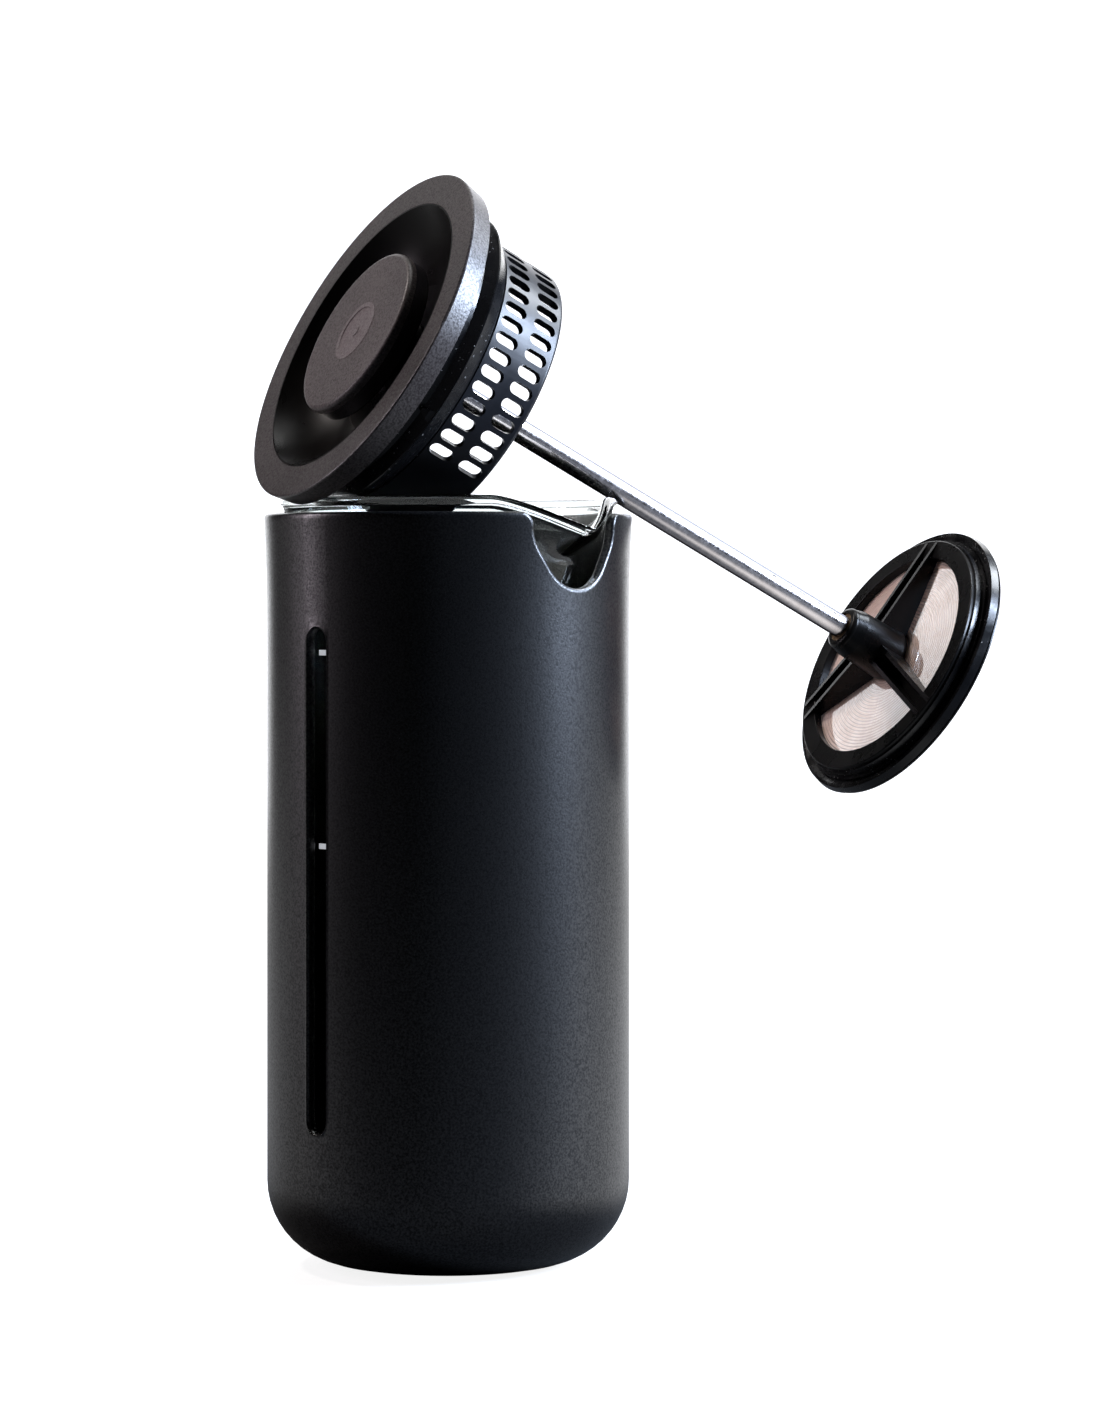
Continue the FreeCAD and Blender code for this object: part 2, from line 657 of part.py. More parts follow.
def mesh_screen():
    """The disc of fine steel cloth between the spider and the lower plate."""
    top = RING_TOP + RING_T
    return tube(ROD_R, MESH_R, -(top + MESH_T), -top)


def filter_seal():
    """The silicone ring around the filter: a stepped band and one flared wiping lip."""
    return turned_depths(FILTER_SEAL_OUTLINE)


def lower_plate():
    """The plate that clamps the mesh from below: ring, flat arms, hub pad and a thin outer flange."""
    top = RING_TOP + RING_T + MESH_T
    ring = turned_depths(((RING_IN_R, top), (RING_R, top)) + FLANGE_OUTLINE)
    pad = tube(ROD_R, LOWER_PAD_R, -(top + LOWER_PAD_T), -top)
    corner = V(ROD_R, -LOWER_ARM_W / 2, -(top + LOWER_ARM_T))
    box = Part.makeBox(RING_IN_R - ROD_R + 1, LOWER_ARM_W, LOWER_ARM_T, corner)
    bore = Part.makeCylinder(ROD_R, LOWER_PAD_T, V(0, 0, -(top + LOWER_PAD_T)))
    return one_solid(ring.fuse([pad] + [around(box, angle) for angle in ARM_ANGLES]).cut(bore))


def clamp_washer():
    top = RING_TOP + RING_T + MESH_T + LOWER_PAD_T
    return tube(ROD_R, WASHER_R, -(top + WASHER_T), -top)


def clamp_nut():
    """The domed hexagon nut that holds the filter on the rod."""
    top = RING_TOP + RING_T + MESH_T + LOWER_PAD_T + WASHER_T
    corner = V(NUT_R, 0, -top)
    turn = FreeCAD.Rotation(V(0, 0, 1), 60)
    corners = [corner]
    while len(corners) < 7:
        corners.append(turn.multVec(corners[-1]))
    prism = Part.Face(Part.makePolygon(corners)).extrude(V(0, 0, top - NUT_END))
    dome = Part.makeSphere(NUT_DOME_R, V(0, 0, NUT_DOME_SINK - NUT_END))
    bore = Part.makeCylinder(ROD_R, ROD_END - top, V(0, 0, -ROD_END))
    shoulder = Part.makeCylinder(NUT_DOME_R + 1, NUT_FLAT_H, V(0, 0, -top - NUT_FLAT_H))
    return one_solid(prism.common(dome.fuse(shoulder)).cut(bore))


def laid_across(shape):
    """Moves a shape from the upright lid frame to where the lid lies across the mouth."""
    tilt = FreeCAD.Rotation(V(0, 1, 0), LID_DIP_DEG - 90)
    heading = FreeCAD.Rotation(V(0, 0, 1), LID_HEADING_DEG)
    placed = shape.copy()
    placed.Placement = FreeCAD.Placement(LID_AT, heading.multiply(tilt)).multiply(placed.Placement)
    return placed


def main():
    os.makedirs("parts", exist_ok=True)
    standing = {
        "jacket": jacket(),
        "base_foot": base_foot(),
        "beaker_cushion": beaker_cushion(),
        "centring_ring": centring_ring(),
        "glass_beaker": glass_beaker(),
    }
    for name, z in MARK_ZS.items():
        standing[name] = level_mark(z)
    lying = {
        "lid_cover": lid_cover(),
        "lid_bowl": lid_bowl(),
        "guide_sleeve": guide_sleeve(),
        "strainer_skirt": strainer_skirt(),
        "lid_seal": lid_seal(),
        "guide_bush": guide_bush(),
        "bush_clip": bush_clip(),
        "knob_cap": knob_cap(),
        "knob_badge": knob_badge(),
        "knob_body": knob_body(),
        "knob_insert": knob_insert(),
        "plunger_rod": plunger_rod(),
        "filter_spider": filter_spider(),
        "hub_ring": hub_ring(),
        "mesh_screen": mesh_screen(),
        "filter_seal": filter_seal(),
        "lower_plate": lower_plate(),
        "clamp_washer": clamp_washer(),
        "clamp_nut": clamp_nut(),
    }
    nodes = dict(standing)
    for name, shape in lying.items():
        nodes[name] = laid_across(shape)
    for name, shape in nodes.items():
        if not shape.isValid() or shape.Volume <= 0:
            raise ValueError(name + " is not a valid solid")
        shape.exportStep("parts/" + name + ".step")
        print("%-18s %9.1f mm3  %d faces" % (name, shape.Volume, len(shape.Faces)))


main()
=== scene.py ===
"""French press with its lid and plunger lying across the mouth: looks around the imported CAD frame."""

import math

import bpy
import numpy as np
from mathutils import Matrix, Vector


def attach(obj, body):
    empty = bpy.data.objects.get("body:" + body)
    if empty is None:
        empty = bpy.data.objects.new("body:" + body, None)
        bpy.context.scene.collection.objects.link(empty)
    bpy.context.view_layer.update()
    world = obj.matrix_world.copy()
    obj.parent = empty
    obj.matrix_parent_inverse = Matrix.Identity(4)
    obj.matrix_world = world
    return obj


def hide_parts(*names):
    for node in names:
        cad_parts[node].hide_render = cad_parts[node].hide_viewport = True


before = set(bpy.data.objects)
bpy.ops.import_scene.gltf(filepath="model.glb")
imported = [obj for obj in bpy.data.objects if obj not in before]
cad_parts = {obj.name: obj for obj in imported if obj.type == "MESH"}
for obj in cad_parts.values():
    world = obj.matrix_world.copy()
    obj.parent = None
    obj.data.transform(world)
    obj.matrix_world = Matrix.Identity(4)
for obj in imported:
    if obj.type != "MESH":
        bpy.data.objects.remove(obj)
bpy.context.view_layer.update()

# ---- the object's own dimensions that the replacement meshes need, in millimetres ------------------------

MM = 0.001
QUARTER, HALF, FULL = math.pi / 2, math.pi, 2 * math.pi
TINY = 1e-6

# The jacket: wall, rounded base, flare at the mouth, pouring notch and level window.
JACKET_R, JACKET_H, WALL = 44.0, 182.0, 2.6
BEND_R, BEND_Z = 20.0, 20.6
FLARE_Z, FLARE, FLARE_POWER = 148.0, 0.7, 2.5
FLOOR_Z, RECESS_Z, RECESS_R, RECESS_EDGE = 0.6, 2.0, 20.35, 0.3
NOTCH_Z, NOTCH_HALF_W, NOTCH_R, KNEE_R, CORNER_R = 164.0, 13.4, 10.5, 10.0, 3.4
NOTCH_FLANK = math.radians(55.0)
WINDOW_R, WINDOW_Z0, WINDOW_Z1, WINDOW_LIP = 3.0, 38.0, 151.5, 0.5
WINDOW_U = -QUARTER * JACKET_R
HOLE = WINDOW_R + WINDOW_LIP
LIP_R, LIP_FULLNESS = 1.0, 0.7

# The glass: wall, base, flared rim with its bead, and spout.
GLASS_R, GLASS_WALL, GLASS_TOP, GLASS_BASE, GLASS_FLOOR = 37.0, 1.9, 186.0, 8.0, 3.0
GLASS_BEND, RIM_FLARE, RIM_FLARE_H, RIM_FLARE_POWER, BEAD_R = 11.0, 2.0, 9.0, 1.6, 1.25
SPOUT_TIP_R, SPOUT_TIP_Z, SPOUT_ROOT_Z, SPOUT_DEG = 49.6, 177.8, 171.5, 30.0
SPOUT_DIP_POWER, SPOUT_DIP_SWELL, SPOUT_REACH_POWER, SPOUT_RISE_POWER = 1.55, 0.15, 1.5, 1.1
SPOUT_OVERREACH = 1.08
SQUEEZE_Z = 164.0
BEAD_FROM, BEAD_TO, BEAD_CLEAR = -HALF / 5, HALF * 1.2, 0.9

# The filter's screen, in the lid's own frame: depth is counted down from the lid's rim.
SCREEN_IN, SCREEN_OUT, SCREEN_DEPTH, SCREEN_T = 2.95, 32.1, 168.0, 0.28
WAVES_IN, WAVES_OUT, WAVE_PITCH, WAVE = 7.0, 28.0, 0.9, 0.11
LID_AT = Vector((-1.53, -27.8, 224.75)) * MM
LID_HEADING, LID_DIP = math.radians(71.24), math.radians(27.82)

# How finely the meshes are divided: counts of points, and shares or positions of rows and columns.
ARC_POINTS, FLANK_POINTS, KNEE_POINTS, BEND_POINTS = 9, 13, 6, 13
RIM_COLUMNS = (18.0, 19.5, 21.5, 24.0, 27.0, 31.0, 35.0)
PLAIN_FROM, PLAIN_STEP, GUARD, CLEAR = 38.0, 3.0, 0.8, 1.5
FLOOR_RINGS = (8.0, 18.0)
LOW_SHARES = (0.35, 0.7, 0.93, 1.0)
WINDOW_ROWS = np.linspace(WINDOW_Z0, WINDOW_Z1, 22)[1:-1]
TOP_SHARES = (0.12, 0.28, 0.42, 0.55, 0.67, 0.78, 0.87, 0.94, 0.975, 1.0)
RIM_LIP_ROWS, WINDOW_LIP_ROWS = 8, 6
GLASS_ROWS = (40, 70, 100, 130, 150, 160, 166, 170, 172, 174, 176)
GLASS_FLOOR_RING, FLARE_ROWS, BEAD_POINTS = 14.0, 7, 13
SPOUT_STEP, TIP_STEP, TIP_DEG, PLAIN_DEG = 1.5, 0.8, 8.0, 3.0
WAVE_STEPS, SCREEN_STEPS, SCREEN_FLAT = 8, 144, 28.4

# ---- node helpers ----------------------------------------------------------------------------------------


class Shader:
    """A node material built around one principled shader."""

    def __init__(self, name, **sockets):
        self.mat = bpy.data.materials.new(name)
        self.mat.use_nodes = True
        self.tree = self.mat.node_tree
        self.bsdf = self.tree.nodes["Principled BSDF"]
        self.coords = self.tree.nodes.new("ShaderNodeTexCoord").outputs["Object"]
        for key, value in sockets.items():
            self.bsdf.inputs[key.replace("_", " ")].default_value = value

    def node(self, kind, links=None, **settings):
        made = self.tree.nodes.new("ShaderNode" + kind)
        for key, value in settings.items():
            setattr(made, key, value)
        for key, value in (links or {}).items():
            self.put(made.inputs[key], value)
        return made

    def put(self, socket, value):
        if isinstance(value, bpy.types.NodeSocket):
            self.tree.links.new(value, socket)
        else:
            socket.default_value = value

    def set(self, name, value):
        """Feeds one of the principled shader's own sockets."""
        self.put(self.bsdf.inputs[name], value)

    def math(self, operation, *values):
        made = self.node("Math", operation=operation)
        for socket, value in zip(made.inputs, values):
            self.put(socket, value)
        return made.outputs[0]

    def length(self, a, b):
        return self.math("SQRT", self.math("ADD", self.math("MULTIPLY", a, a), self.math("MULTIPLY", b, b)))

    def along(self, direction):
        """The position along a level direction."""
        x, y, _ = self.xyz()
        steps = [self.math("MULTIPLY", x, direction.x), self.math("MULTIPLY", y, direction.y)]
        return self.math("ADD", *steps)

    def noise(self, scale, detail=3.0, roughness=0.5, distortion=0.0):
        links = {"Vector": self.coords, "Scale": scale, "Detail": detail,
                 "Roughness": roughness, "Distortion": distortion}
        return self.node("TexNoise", links).outputs["Fac"]

    def ramp(self, fac, *stops):
        made = self.node("ValToRGB", {"Fac": fac})
        for element, (position, colour) in zip(made.color_ramp.elements, stops):
            element.position = position
            element.color = (*colour, 1.0)
        return made.outputs["Color"]

    def remap(self, value, low, high, to_low, to_high):
        links = {"Value": value, "From Min": low, "From Max": high, "To Min": to_low, "To Max": to_high}
        return self.node("MapRange", links).outputs["Result"]

    def mix(self, fac, a, b):
        made = self.node("Mix", data_type="RGBA")
        self.put(made.inputs[0], fac)
        self.put(made.inputs[6], a if isinstance(a, bpy.types.NodeSocket) else (*a, 1.0))
        self.put(made.inputs[7], b if isinstance(b, bpy.types.NodeSocket) else (*b, 1.0))
        return made.outputs[2]

    def bump(self, height, strength, distance):
        """Adds a bump on top of those that are already there."""
        links = {"Height": height, "Strength": strength, "Distance": distance}
        previous = self.bsdf.inputs["Normal"].links
        if previous:
            links["Normal"] = previous[0].from_socket
        self.set("Normal", self.node("Bump", links).outputs["Normal"])

    def specks(self, scale, size, share, seed=0.0):
        """A mask of small sparse dots: dust, droplets or grains."""
        shift = (seed, seed * 0.7, seed * 1.3)
        coords = self.node("VectorMath", {0: self.coords, 1: shift}, operation="ADD").outputs[0]
        cells = self.node("TexVoronoi", {"Vector": coords, "Scale": scale})
        near = self.math("LESS_THAN", cells.outputs["Distance"], size)
        chosen = self.node("SeparateColor", {"Color": cells.outputs["Color"]}).outputs[0]
        return self.math("MULTIPLY", near, self.math("GREATER_THAN", chosen, 1.0 - share))

    def xyz(self):
        return self.node("SeparateXYZ", {"Vector": self.coords}).outputs


def paint(node, shader):
    """Gives a carried-over CAD node its material."""
    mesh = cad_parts[node].data
    mesh.materials.clear()
    mesh.materials.append(shader.mat)


# ---- materials; lengths in metres ------------------------------------------------------------------------

SANDY, SMOOTH = 1900.0, 1500.0
GRAIN_LOW, GRAIN_HIGH = 0.36, 0.64
GRAIN_H = 0.00006
SEAM_HALF_W, SEAM_H = 0.00012, 0.00008
THREAD_PITCH, RING_PITCH = 0.00030, 0.00090
GREY_DUST, SAND_DUST, PALE_DUST = (0.30, 0.30, 0.33), (0.16, 0.15, 0.15), (0.30, 0.28, 0.27)
# The colour of the level marks' painted glow.
MARK_GLOW = (0.90, 0.94, 1.0, 1.0)
LIGHTER = 1.7


def jacket_plastic():
    """Matte black with a fine orange-peel grain that sparkles in the highlights, and a faint mould seam."""
    s = Shader("jacket_plastic", IOR=1.5)
    x, y, _ = s.xyz()
    cloud = s.noise(60.0, 4.0)
    grain = s.noise(SANDY, 2.0, 0.6)
    dust = s.specks(70.0, 0.018, 0.035)
    near_seam = s.math("LESS_THAN", s.math("ABSOLUTE", y), SEAM_HALF_W)
    seam = s.math("MULTIPLY", near_seam, s.math("GREATER_THAN", x, 0.0))
    base = s.mix(cloud, (0.0018, 0.0018, 0.0021), (0.0032, 0.0031, 0.0036))
    base = s.mix(seam, base, (0.001, 0.001, 0.001))
    s.set("Base Color", s.mix(dust, base, GREY_DUST))
    s.set("Specular IOR Level", s.remap(grain, GRAIN_LOW, GRAIN_HIGH, 0.28, 0.90))
    s.set("Roughness", s.remap(grain, 0.3, 0.7, 0.36, 0.28))
    s.bump(grain, 0.45, GRAIN_H)
    s.bump(seam, -0.5, SEAM_H)
    return s


def grained_plastic(name, low, high, roughness, shine):
    """The warm brown-black moulding of the rim and the knob: satin, with a fine sandy grain."""
    s = Shader(name, IOR=1.46)
    grain = s.noise(SANDY, 2.0, 0.6)
    cloud = s.noise(45.0, 3.0)
    tone = s.math("ADD", s.math("MULTIPLY", grain, 0.8), s.math("MULTIPLY", cloud, 0.2))
    base = s.ramp(tone, (0.38, low), (0.62, high))
    base = s.mix(s.specks(420.0, 0.10, 0.020), base, SAND_DUST)
    base = s.mix(s.specks(90.0, 0.035, 0.05, 0.31), base, PALE_DUST)
    s.set("Base Color", base)
    s.set("Specular IOR Level", s.remap(grain, GRAIN_LOW, GRAIN_HIGH, shine * 0.5, shine * 1.5))
    s.set("Roughness", s.remap(cloud, 0.3, 0.7, roughness - 0.04, roughness + 0.05))
    s.bump(grain, 0.6, GRAIN_H)
    return s


def smooth_plastic(name, colour, roughness, wear, shine=0.5):
    """Black injection moulding with a soft sheen and faint wipe marks."""
    s = Shader(name, IOR=1.5, Specular_IOR_Level=shine)
    cloud = s.noise(70.0, 4.0, 0.6, distortion=0.6)
    base = s.mix(cloud, colour, tuple(c * LIGHTER for c in colour))
    s.set("Base Color", s.mix(s.specks(160.0, 0.03, 0.02, 0.17), base, (0.2, 0.2, 0.2)))
    s.set("Roughness", s.remap(cloud, 0.25, 0.75, roughness - wear, roughness + wear))
    s.bump(s.noise(SMOOTH, 2.0), 0.25, GRAIN_H / 2)
    return s


def silicone():
    """Glossy black silicone with fine dust and dried droplets."""
    s = Shader("seal_silicone", IOR=1.43, Specular_IOR_Level=0.38)
    film = s.noise(160.0, 4.0, 0.6)
    drops = s.specks(650.0, 0.16, 0.05)
    dusty = s.math("GREATER_THAN", s.noise(75.0, 2.0), 0.56)
    marks = s.math("MAXIMUM", drops, s.math("MULTIPLY", s.specks(1100.0, 0.20, 0.20, 0.4), dusty))
    s.set("Base Color", s.mix(marks, (0.0045, 0.0045, 0.005), (0.16, 0.155, 0.15)))
    s.set("Roughness", s.remap(film, 0.3, 0.7, 0.14, 0.34))
    s.bump(marks, 0.6, 0.00012)
    s.bump(film, 0.25, 0.00025)
    return s


def drawn_steel(name, base, roughness):
    """Bright drawn or turned steel, finely mottled, with painted shade at its grazing edges and a painted
    dark line along its upper edge that stands in for the reflection of a dark surround.
    """
    s = Shader(name, Specular_IOR_Level=0.0, Specular_Tint=(0.25, 0.24, 0.24, 1.0))
    mottle = s.noise(900.0, 4.0, 0.65)
    stain = s.remap(s.noise(120.0, 3.0), 0.5, 0.75, 0.0, 0.35)
    colour = s.ramp(mottle, (0.35, tuple(c * 0.80 for c in base)), (0.62, base))
    colour = s.mix(stain, colour, (0.50, 0.43, 0.40))
    # Painted reflection and shade: near grazing angles the colour turns near-black, and on the upper edge
    # the metal turns to dark plastic, a painted dark line in place of a reflected dark surround.
    rim = s.node("LayerWeight", {"Blend": 0.5}).outputs["Facing"]
    upward = s.node("SeparateXYZ", {"Vector": s.node("NewGeometry").outputs["Normal"]}).outputs["Z"]
    line = s.math("MULTIPLY", s.remap(rim, 0.42, 0.50, 0.0, 1.0), s.math("GREATER_THAN", upward, 0.2))
    s.set("Base Color", s.mix(s.remap(rim, 0.44, 0.60, 0.0, 0.8), colour, (0.03, 0.03, 0.035)))
    s.set("Metallic", s.math("SUBTRACT", 1.0, line))
    s.set("Roughness", s.remap(mottle, 0.3, 0.7, roughness - 0.05, roughness + 0.09))
    s.bump(mottle, 0.12, 0.00004)
    return s


def woven_screen():
    """Fine steel cloth with open gaps, a little coffee stain and the rings that its threads beat into."""
    s = Shader("woven_screen", Metallic=0.15, IOR=1.5, Alpha=0.62)
    x, y, _ = s.xyz()
    warp = s.math("SINE", s.math("MULTIPLY", x, FULL / THREAD_PITCH))
    weft = s.math("SINE", s.math("MULTIPLY", y, FULL / THREAD_PITCH))
    rings = s.math("SINE", s.math("MULTIPLY", s.length(x, y), FULL / RING_PITCH))
    stain = s.noise(170.0, 4.0, 0.6)
    tone = s.ramp(stain, (0.35, (0.78, 0.57, 0.46)), (0.62, (0.92, 0.74, 0.64)))
    s.set("Base Color", s.mix(s.remap(rings, 0.0, 1.0, 0.0, 0.5), tone, (0.10, 0.07, 0.06)))
    s.set("Roughness", s.remap(stain, 0.3, 0.7, 0.38, 0.55))
    s.bump(s.math("MULTIPLY", warp, weft), 0.4, 0.00004)
    return s


def brass():
    s = Shader("brass", Metallic=1.0)
    tone = s.noise(700.0, 3.0)
    s.set("Base Color", s.ramp(tone, (0.3, (0.15, 0.10, 0.055)), (0.7, (0.32, 0.23, 0.14))))
    s.set("Roughness", s.remap(tone, 0.3, 0.7, 0.28, 0.45))
    s.bump(tone, 0.2, 0.00005)
    return s


def clear_glass():
    """Clear glass with a faint green tint, thin smears and a slightly uneven surface."""
    s = Shader("clear_glass", IOR=1.47, Transmission_Weight=1.0)
    smear = s.noise(110.0, 3.0, 0.6)
    s.set("Base Color", s.mix(smear, (0.90, 0.945, 0.93), (0.95, 0.98, 0.965)))
    s.set("Roughness", s.remap(smear, 0.45, 0.8, 0.0, 0.05))
    s.bump(s.noise(60.0, 2.0), 0.08, 0.0004)
    return s


def printed_white():
    """The level marks' print, with a faint painted glow that stands in for light, so that it reads in the
    dark behind the window.
    """
    s = Shader("printed_white", Roughness=0.55, Emission_Strength=0.45, Emission_Color=MARK_GLOW)
    wear = s.noise(1800.0, 3.0)
    s.set("Base Color", s.ramp(wear, (0.3, (0.72, 0.72, 0.74)), (0.5, (0.95, 0.95, 0.96))))
    s.bump(wear, 0.3, 0.00002)
    return s


def rubber():
    s = Shader("soft_rubber", Roughness=0.8, IOR=1.5)
    grain = s.noise(1400.0, 3.0)
    s.set("Base Color", s.ramp(grain, (0.3, (0.010, 0.010, 0.010)), (0.7, (0.022, 0.022, 0.022))))
    s.bump(grain, 0.4, 0.00008)
    return s


# ---- mesh helpers ----------------------------------------------------------------------------------------


class Skin:
    """The vertices and faces of one mesh, put together from closed rows of points."""

    def __init__(self):
        self.vertices, self.faces = [], []

    def add(self, points):
        """Adds a row of points and returns their indices."""
        first = len(self.vertices)
        self.vertices.extend(points)
        return np.arange(first, first + len(points))

    def face(self, corners, flip):
        self.faces.append([int(v) for v in (reversed(corners) if flip else corners)])

    def fan(self, height, row, flip):
        """Closes a row with triangles to a point on the axis, which is the last one added."""
        pole = self.add([(0.0, 0.0, height)])[0]
        for i in range(len(row)):
            self.face([pole, row[(i + 1) % len(row)], row[i]], flip)

    def bridge(self, rows, flip, skip=None):
        """Quads from each row to the next; where both columns are in skip, none."""
        for a, b in zip(rows, rows[1:]):
            for i in range(len(a)):
                j = (i + 1) % len(a)
                if skip is None or not (skip[i] and skip[j]):
                    self.face([a[i], a[j], b[j], b[i]], flip)


def ring(radius, height, turns):
    return np.stack([radius * np.cos(turns), radius * np.sin(turns), height + 0 * turns], -1)


# ---- jacket ----------------------------------------------------------------------------------------------


def notch_half():
    """Points (along the wall, height) of half the top edge, from the notch's centre to the plain rim."""
    tilt = QUARTER - NOTCH_FLANK
    points = [(NOTCH_R * math.sin(a), NOTCH_Z + NOTCH_R * (1 - math.cos(a)))
              for a in np.linspace(0, NOTCH_FLANK, ARC_POINTS)]
    foot_u, foot_z = points[-1]
    knee_u = NOTCH_HALF_W - KNEE_R * (1 - math.cos(tilt))
    knee_z = foot_z + (knee_u - foot_u) * math.tan(NOTCH_FLANK)
    points += [(foot_u + (knee_u - foot_u) * t, foot_z + (knee_z - foot_z) * t)
               for t in np.linspace(0, 1, FLANK_POINTS)[1:]]
    centre_z = knee_z + KNEE_R * math.sin(tilt)
    points += [(NOTCH_HALF_W - KNEE_R * (1 - math.cos(a)), centre_z - KNEE_R * math.sin(a))
               for a in np.linspace(tilt, 0, KNEE_POINTS)[1:]]
    points += [(NOTCH_HALF_W + CORNER_R * (1 - math.cos(a)), JACKET_H - CORNER_R * (1 - math.sin(a)))
               for a in np.linspace(0, QUARTER, ARC_POINTS)]
    return points + [(u, JACKET_H) for u in RIM_COLUMNS]


def top_columns():
    """One row per column of the jacket: base position, top edge point and the normal into the open side."""
    half = np.array(notch_half())
    steps = np.hypot(*np.diff(half, axis=0).T)
    run = np.concatenate([[0], np.cumsum(steps)])
    base = run * half[-1, 0] / run[-1]
    tangent = np.gradient(half, axis=0)
    tangent[0] = (1, 0)
    tangent /= np.hypot(*tangent.T)[:, None]
    right = [(b, p[0], p[1], -t[1], t[0]) for b, p, t in zip(base, half, tangent)]
    back = HALF * JACKET_R
    plain = np.arange(PLAIN_FROM, back - 1.0, PLAIN_STEP)
    round_end = [HOLE * math.cos(a) for a in np.linspace(HALF, 0, BEND_POINTS)]
    window = [u - WINDOW_U for u in round_end + [-HOLE - GUARD, HOLE + GUARD]]
    left = [(-u, -u, JACKET_H, 0.0, 1.0) for u in plain if abs(u + WINDOW_U) > HOLE + CLEAR]
    left += [(-u, -u, JACKET_H, 0.0, 1.0) for u in window]
    left += [(-b, -u, z, -out_u, out_z) for b, u, z, out_u, out_z in right[1:]]
    left.sort(key=lambda column: column[0])
    right += [(u, u, JACKET_H, 0.0, 1.0) for u in (*plain, back)]
    return np.array(left + right)


def jacket_radius(z):
    rise = np.clip((z - FLARE_Z) / (JACKET_H - WALL / 2 - FLARE_Z), 0, 1)
    return JACKET_R + FLARE * rise ** FLARE_POWER


def on_wall(u, z, depth):
    return ring(jacket_radius(z) - depth, z, u / JACKET_R)


def lip_steps(count):
    """(how far out, how deep) of a rounded lip's rows between the two wall surfaces, as shares."""
    angles = [HALF * k / count for k in range(1, count)]
    return [(math.sin(a) ** LIP_FULLNESS, (1 - math.cos(a)) / 2) for a in angles]


def window_shape(base):
    """Per column: distance from the window's middle, height of the round end there, whether it is inside."""
    across = base - WINDOW_U
    end = np.sqrt(np.maximum(HOLE ** 2 - np.minimum(np.abs(across), HOLE) ** 2, 0))
    return across, end, np.abs(across) < HOLE + TINY


def base_profile(depth):
    """Radius and height of the rounded base, from near the axis to the top of the bend."""
    if depth == 0.0:
        profile = [(RECESS_R, RECESS_Z), (RECESS_R, FLOOR_Z), (RECESS_R + RECESS_EDGE, FLOOR_Z)]
    else:
        profile = [(radius, FLOOR_Z + WALL) for radius in FLOOR_RINGS]
    bend = BEND_R - depth
    return profile + [(JACKET_R - BEND_R + bend * math.cos(a), BEND_Z + bend * math.sin(a))
                      for a in np.linspace(-QUARTER, 0, BEND_POINTS)]


def wall_side(skin, columns, depth):
    """One side of the wall, from the base's centre to the top; returns its top row and window edge."""
    base, top_u, top_z, out_u, out_z = columns.T
    end, in_window = window_shape(base)[1:]
    flip = depth > 0
    profile = base_profile(depth)
    low = [skin.add(ring(radius, z, base / JACKET_R)) for radius, z in profile]
    skin.fan(profile[0][1], low[0], flip)
    low += [skin.add(on_wall(base, BEND_Z + (WINDOW_Z0 - end - BEND_Z) * t, depth)) for t in LOW_SHARES]
    skin.bridge(low, flip)
    beside = [skin.add(on_wall(base, z, depth)) for z in WINDOW_ROWS]
    start_z = WINDOW_Z1 + end
    high = [skin.add(on_wall(base, start_z, depth))]
    skin.bridge([low[-1], *beside, high[0]], flip, in_window)
    for t in TOP_SHARES:
        ease = t * t * (3 - 2 * t)
        u = base + (top_u - out_u * LIP_R - base) * ease
        z = start_z + (top_z - out_z * LIP_R - start_z) * t
        high.append(skin.add(on_wall(u, z, depth)))
    skin.bridge(high, flip)
    first, last = np.flatnonzero(in_window)[[0, -1]]
    edge = [*low[-1][in_window], *(row[last] for row in beside)]
    edge += [*high[0][in_window][::-1], *(row[first] for row in beside[::-1])]
    return high[-1], edge


def rim_lip(skin, columns, outer, inner):
    """The rounded lip along the top edge, from the wall's outer side to its inner side."""
    top_u, top_z, out_u, out_z = columns.T[1:]
    rows = [outer]
    for out, deep in lip_steps(RIM_LIP_ROWS):
        back = LIP_R * (out - 1)
        rows.append(skin.add(on_wall(top_u + out_u * back, top_z + out_z * back, WALL * deep)))
    skin.bridge([*rows, inner], False)


def window_lip(skin, columns, outer, inner):
    """The rounded lip around the window, from the wall's outer side to its inner side."""
    across, end, in_window = window_shape(columns[:, 0])
    side, up = across[in_window] / HOLE, end[in_window] / HOLE
    straight = 0 * WINDOW_ROWS
    low = np.stack([side, -up, WINDOW_Z0 + 0 * side], 1)
    high = np.stack([side, up, WINDOW_Z1 + 0 * side], 1)[::-1]
    right = np.stack([straight + 1, straight, WINDOW_ROWS], 1)
    left = np.stack([straight - 1, straight, WINDOW_ROWS[::-1]], 1)
    out_u, out_z, middle_z = np.concatenate([low, right, high, left]).T
    rows = [outer]
    for out, deep in lip_steps(WINDOW_LIP_ROWS):
        reach = HOLE - WINDOW_LIP * out
        rows.append(skin.add(on_wall(WINDOW_U + out_u * reach, middle_z + out_z * reach, WALL * deep)))
    skin.bridge([*rows, inner], True)


def jacket_skin():
    columns = top_columns()
    skin = Skin()
    outer_top, outer_edge = wall_side(skin, columns, 0.0)
    inner_top, inner_edge = wall_side(skin, columns, WALL)
    rim_lip(skin, columns, outer_top, inner_top)
    window_lip(skin, columns, outer_edge, inner_edge)
    return skin


# ---- glass -----------------------------------------------------------------------------------------------


def rim_flare(z):
    """How far the glass leans out at a height above the start of its flare."""
    flare_z = GLASS_TOP - RIM_FLARE_H
    return RIM_FLARE * ((z - flare_z) / (GLASS_TOP - BEAD_R - flare_z)) ** RIM_FLARE_POWER


def bottom_bend(radius, bend, floor, angles):
    """Points of the rounded corner between the glass wall and its floor."""
    return [(radius - bend + bend * math.cos(a), floor + bend + bend * math.sin(a)) for a in angles]


